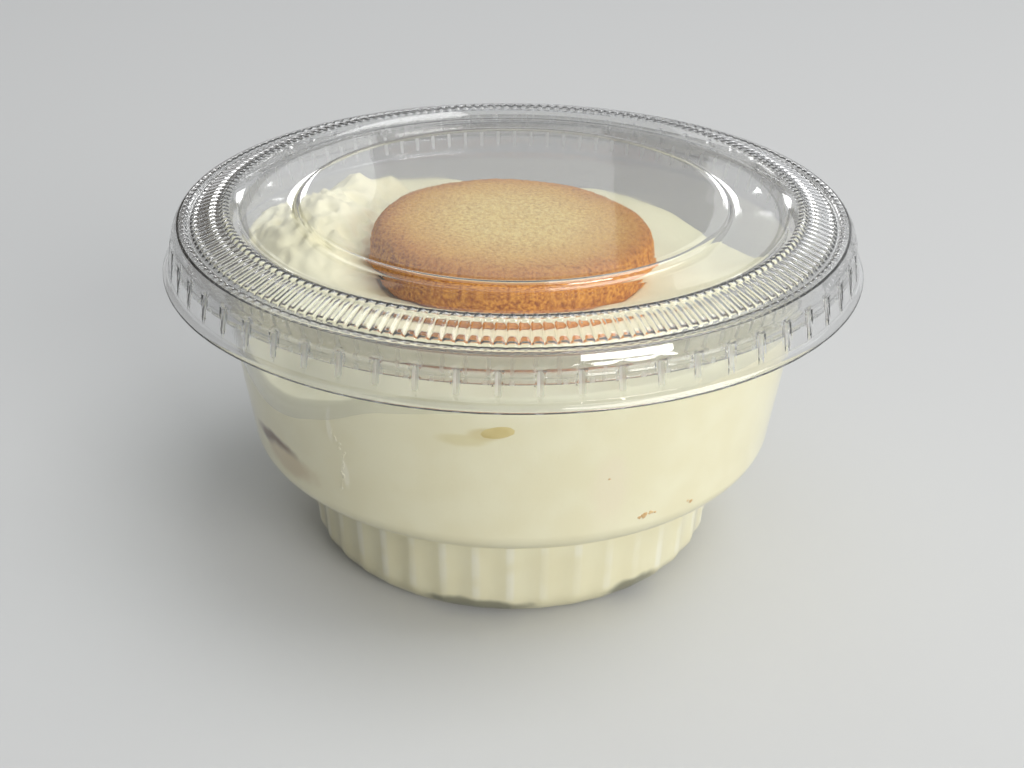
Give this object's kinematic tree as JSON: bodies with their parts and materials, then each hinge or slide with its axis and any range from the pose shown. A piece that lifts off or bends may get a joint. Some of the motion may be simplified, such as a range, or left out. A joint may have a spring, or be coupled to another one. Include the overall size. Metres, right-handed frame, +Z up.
{
  "type": "cup of banana pudding",
  "caption": "Clear dessert cup with a fluted foot, flared wall and ribbed snap lid, filled with banana pudding, round vanilla wafers and banana.",
  "frame": {"origin": "centre of the foot's underside, on the plane the cup stands on", "axes": "+Z up through the lid, -Y the side that faced the camera, +X to its right"},
  "size_m": [0.0948, 0.0948, 0.0499],
  "materials": {
    "clear_plastic": "clear thermoformed sheet, glossy",
    "banana_cream": "moist, softly whipped cream",
    "vanilla_biscuit": "baked, dry, browner at the edge",
    "banana_flesh": "moist fruit"
  },
  "bodies": {
    "root": {"cup": "clear_plastic", "lid": "clear_plastic", "pudding": "banana_cream", "top_wafer": "vanilla_biscuit", "side_wafer": "vanilla_biscuit", "banana_slice": "banana_flesh"}
  },
  "joints": []
}
